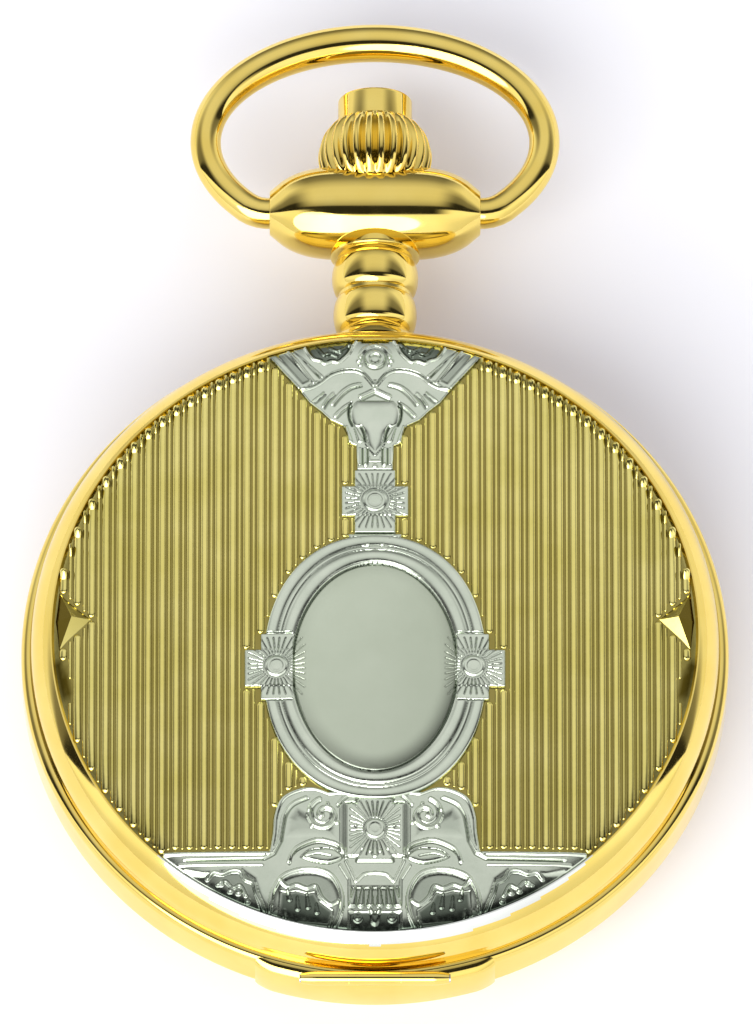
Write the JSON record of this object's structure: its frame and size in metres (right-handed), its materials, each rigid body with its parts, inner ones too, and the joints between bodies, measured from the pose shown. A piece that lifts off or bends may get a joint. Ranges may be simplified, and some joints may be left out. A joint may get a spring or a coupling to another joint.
{
  "type": "hunter-case pocket watch",
  "caption": "Hinged-cover pocket watch with swinging bow, fluted crown, push-button latch, dial, hands and geared hand-wound movement.",
  "frame": {"origin": "centre of the flat face of the back cover, on which the watch lies", "axes": "+Z out of the front cover, +Y from six o'clock to the pendant at twelve, +X to three o'clock"},
  "size_m": [0.048, 0.0723, 0.0128],
  "materials": {
    "polished_gold": "mirror polished yellow gold plate",
    "relief_gold_and_rhodium": "polished reeded gold plate with rhodium-plated ornament",
    "mineral_glass": "clear polished",
    "dial_enamel": "white enamelled",
    "polished_steel": "polished",
    "blued_steel": "heat-blued",
    "gilt_brass": "gilt, fine satin",
    "rhodium_plate": "rhodium plated, striped"
  },
  "bodies": {
    "case": {"case_band": "polished_gold", "back_cover": "polished_gold", "hinge_block": "polished_gold", "hinge_pin": "polished_gold", "crystal_bezel": "polished_gold", "crystal": "mineral_glass", "lock_spring": "polished_steel", "lift_spring": "polished_steel", "pendant": "polished_gold", "dial": "dial_enamel", "movement_ring": "rhodium_plate", "main_plate": "gilt_brass", "barrel_bridge": "rhodium_plate", "train_bridge": "rhodium_plate", "balance_cock": "rhodium_plate", "regulator": "gilt_brass", "bridge_screw_1": "polished_steel", "bridge_screw_2": "polished_steel", "bridge_screw_3": "polished_steel", "bridge_screw_4": "polished_steel", "bridge_screw_5": "polished_steel", "bridge_screw_6": "polished_steel"},
    "front_cover": {"front_cover_rim": "polished_gold", "front_cover_panel": "relief_gold_and_rhodium", "cover_hinge_tube": "polished_gold"},
    "bow": {"bow": "polished_gold"},
    "clutch": {"sliding_pinion": "polished_steel"},
    "crown": {"crown": "polished_gold", "winding_stem": "polished_steel"},
    "push_button": {"push_button": "polished_gold"},
    "cover_catch": {"cover_catch": "polished_steel"},
    "winding_pinion": {"winding_pinion": "polished_steel"},
    "crown_wheel": {"crown_wheel": "polished_steel"},
    "ratchet_wheel": {"ratchet_wheel": "polished_steel", "barrel_arbor": "polished_steel"},
    "click": {"click": "polished_steel"},
    "setting_lever": {"setting_lever": "polished_steel"},
    "barrel": {"barrel_drum": "gilt_brass", "barrel_teeth_ring": "gilt_brass"},
    "centre_wheel": {"centre_wheel": "gilt_brass", "centre_pinion": "polished_steel"},
    "third_wheel": {"third_wheel": "gilt_brass", "third_pinion": "polished_steel"},
    "fourth_wheel": {"fourth_wheel": "gilt_brass", "fourth_pinion": "polished_steel", "seconds_hand": "blued_steel"},
    "escape_wheel": {"escape_wheel": "polished_steel", "escape_pinion": "polished_steel"},
    "pallet_fork": {"pallet_fork": "polished_steel"},
    "balance": {"balance_wheel": "gilt_brass", "balance_staff": "polished_steel", "hairspring": "polished_steel"},
    "minute_hand": {"minute_hand": "blued_steel", "cannon_pinion": "polished_steel"},
    "minute_wheel": {"minute_wheel": "polished_steel"},
    "hour_hand": {"hour_hand": "blued_steel", "hour_wheel": "polished_steel"}
  },
  "joints": [
    {"name": "cover_hinge", "type": "hinge", "parent": "case", "child": "front_cover", "pos_m": [0, -0.02415, 0.00865], "axis": [1, 0, 0], "range_deg": [0, 105]},
    {"name": "bow_swing", "type": "hinge", "parent": "case", "child": "bow", "pos_m": [0, 0.03356, 0.0065], "axis": [1, 0, 0], "range_deg": [-140, 140]},
    {"name": "stem_turn", "type": "hinge", "parent": "case", "child": "clutch", "pos_m": [0, 0.0124, 0.0065], "axis": [0, 1, 0], "continuous": true},
    {"name": "crown_pull", "type": "slide", "parent": "clutch", "child": "crown", "axis": [0, 1, 0], "range_m": [0, 0.001]},
    {"name": "button_press", "type": "slide", "parent": "crown", "child": "push_button", "axis": [0, -1, 0], "range_m": [0, 0.0008], "stiffness_N_per_m": 1500, "springref_m": -0.0004},
    {"name": "catch_slide", "type": "slide", "parent": "case", "child": "cover_catch", "axis": [0, -1, 0], "range_m": [0, 0.00012]},
    {"name": "winding_pinion_turn", "type": "hinge", "parent": "case", "child": "winding_pinion", "pos_m": [0, 0.014, 0.0065], "axis": [0, 1, 0], "continuous": true},
    {"name": "crown_wheel_turn", "type": "hinge", "parent": "case", "child": "crown_wheel", "pos_m": [0.0022, 0.0116, 0.0035], "axis": [0, 0, 1], "continuous": true},
    {"name": "ratchet_turn", "type": "hinge", "parent": "case", "child": "ratchet_wheel", "pos_m": [0.008, 0.0037, 0.0027], "axis": [0, 0, 1], "continuous": true},
    {"name": "click_rock", "type": "hinge", "parent": "case", "child": "click", "pos_m": [0.0136, 0.0094, 0.0027], "axis": [0, 0, 1], "range_deg": [0, 10], "stiffness_Nm_per_rad": 0.00002},
    {"name": "lever_rock", "type": "hinge", "parent": "case", "child": "setting_lever", "pos_m": [0.001, 0.0162, 0.0073], "axis": [0, 0, 1], "range_deg": [-8, 0]},
    {"name": "seconds_turn", "type": "hinge", "parent": "case", "child": "fourth_wheel", "pos_m": [0, -0.0095, 0.0053], "axis": [0, 0, 1], "continuous": true},
    {"name": "third_turn", "type": "hinge", "parent": "case", "child": "third_wheel", "pos_m": [0.00441, -0.00543, 0.0041], "axis": [0, 0, 1], "continuous": true},
    {"name": "centre_turn", "type": "hinge", "parent": "case", "child": "centre_wheel", "pos_m": [0, 0, 0.0046], "axis": [0, 0, 1], "continuous": true},
    {"name": "barrel_turn", "type": "hinge", "parent": "case", "child": "barrel", "pos_m": [0.008, 0.0037, 0.0057], "axis": [0, 0, 1], "continuous": true},
    {"name": "escape_turn", "type": "hinge", "parent": "case", "child": "escape_wheel", "pos_m": [-0.0047, -0.0078, 0.0061], "axis": [0, 0, 1], "continuous": true},
    {"name": "pallet_rock", "type": "hinge", "parent": "case", "child": "pallet_fork", "pos_m": [-0.0076, -0.0059, 0.0061], "axis": [0, 0, 1], "range_deg": [-5, 5]},
    {"name": "balance_swing", "type": "hinge", "parent": "case", "child": "balance", "pos_m": [-0.01, -0.003, 0.0039], "axis": [0, 0, 1], "range_deg": [-270, 270], "stiffness_Nm_per_rad": 0.000001},
    {"name": "minute_turn", "type": "hinge", "parent": "case", "child": "minute_hand", "pos_m": [0, 0, 0.0095], "axis": [0, 0, 1], "continuous": true},
    {"name": "minute_wheel_turn", "type": "hinge", "parent": "case", "child": "minute_wheel", "pos_m": [0, 0.00455, 0.0078], "axis": [0, 0, 1], "continuous": true},
    {"name": "hour_turn", "type": "hinge", "parent": "case", "child": "hour_hand", "pos_m": [0, 0, 0.0092], "axis": [0, 0, 1], "continuous": true}
  ],
  "couplings": [
    {"joint": "catch_slide", "follows": "button_press", "ratio": 0.15},
    {"joint": "winding_pinion_turn", "follows": "stem_turn", "ratio": 1},
    {"joint": "crown_wheel_turn", "follows": "stem_turn", "ratio": 0.4},
    {"joint": "ratchet_turn", "follows": "stem_turn", "ratio": -0.3},
    {"joint": "lever_rock", "follows": "crown_pull", "rad_per_m": -139},
    {"joint": "third_turn", "follows": "seconds_turn", "ratio": -0.13333},
    {"joint": "centre_turn", "follows": "seconds_turn", "ratio": 0.016667},
    {"joint": "barrel_turn", "follows": "seconds_turn", "ratio": -0.0027778},
    {"joint": "escape_turn", "follows": "seconds_turn", "ratio": -10},
    {"joint": "minute_wheel_turn", "follows": "minute_turn", "ratio": -0.33333},
    {"joint": "hour_turn", "follows": "minute_turn", "ratio": 0.083333}
  ]
}
